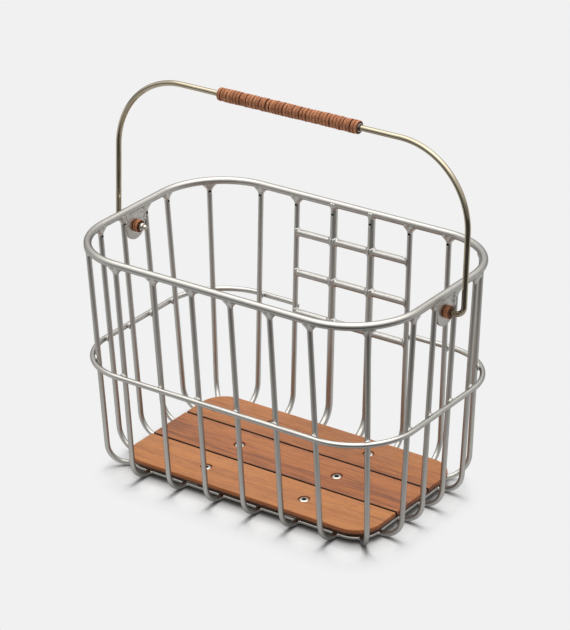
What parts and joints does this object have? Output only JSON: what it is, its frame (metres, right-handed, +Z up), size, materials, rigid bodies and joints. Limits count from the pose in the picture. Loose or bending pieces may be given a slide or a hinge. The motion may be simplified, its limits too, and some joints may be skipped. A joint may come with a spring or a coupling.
{
  "type": "bicycle basket",
  "caption": "Open tube bicycle basket with slatted wooden base, back grid and a swinging bail handle with leather grip.",
  "frame": {"origin": "middle of the bounding box at ground level, under the bent feet of the uprights", "axes": "+X along the basket's length and the bail's pivots, +Y towards the back wall with the grid, +Z up"},
  "size_m": [0.4176, 0.2478, 0.394],
  "materials": {
    "satin_tube": "satin",
    "polished_wire": "polished",
    "bright_fastener": "polished",
    "oiled_wood": "oiled",
    "tan_leather": "matt"
  },
  "bodies": {
    "basket": {"top_rim": "satin_tube", "mid_ring": "satin_tube", "bottom_ring": "satin_tube", "front_upright_1": "satin_tube", "front_upright_2": "satin_tube", "front_upright_3": "satin_tube", "front_upright_4": "satin_tube", "front_upright_5": "satin_tube", "front_upright_6": "satin_tube", "back_upright_1": "satin_tube", "back_upright_2": "satin_tube", "back_upright_3": "satin_tube", "back_upright_4": "satin_tube", "back_upright_5": "satin_tube", "back_upright_6": "satin_tube", "left_upright_1": "satin_tube", "left_upright_2": "satin_tube", "left_upright_3": "satin_tube", "left_upright_4": "satin_tube", "right_upright_1": "satin_tube", "right_upright_2": "satin_tube", "right_upright_3": "satin_tube", "right_upright_4": "satin_tube", "front_left_corner_upright": "satin_tube", "front_right_corner_upright": "satin_tube", "back_left_corner_upright": "satin_tube", "back_right_corner_upright": "satin_tube", "grid_rod_top_left": "satin_tube", "grid_rod_top_centre": "satin_tube", "grid_rod_top_right": "satin_tube", "grid_rod_middle_left": "satin_tube", "grid_rod_middle_centre": "satin_tube", "grid_rod_middle_right": "satin_tube", "grid_rod_bottom_left": "satin_tube", "grid_rod_bottom_centre": "satin_tube", "grid_rod_bottom_right": "satin_tube", "crossbar_left": "satin_tube", "crossbar_right": "satin_tube", "pivot_plate_left": "satin_tube", "pivot_plate_right": "satin_tube", "front_plank": "oiled_wood", "middle_plank": "oiled_wood", "rear_plank": "oiled_wood", "front_plank_screw_left": "bright_fastener", "front_plank_screw_right": "bright_fastener", "middle_plank_screw_left": "bright_fastener", "middle_plank_screw_right": "bright_fastener", "rear_plank_screw_left": "bright_fastener", "rear_plank_screw_right": "bright_fastener", "outer_washer_left": "tan_leather", "outer_washer_right": "tan_leather", "inner_washer_left": "tan_leather", "inner_washer_right": "tan_leather"},
    "bail": {"bail": "polished_wire", "end_collar_left": "bright_fastener", "end_collar_right": "bright_fastener"},
    "grip": {"grip_sleeve": "bright_fastener", "leather_grip": "tan_leather"}
  },
  "joints": [
    {"name": "bail_swing", "type": "hinge", "parent": "basket", "child": "bail", "pos_m": [0, 0, 0.2279], "axis": [1, 0, 0], "range_deg": [-123, 130]},
    {"name": "grip_spin", "type": "hinge", "parent": "bail", "child": "grip", "pos_m": [0, 0.01056, 0.38695], "axis": [1, 0, 0], "continuous": true}
  ]
}
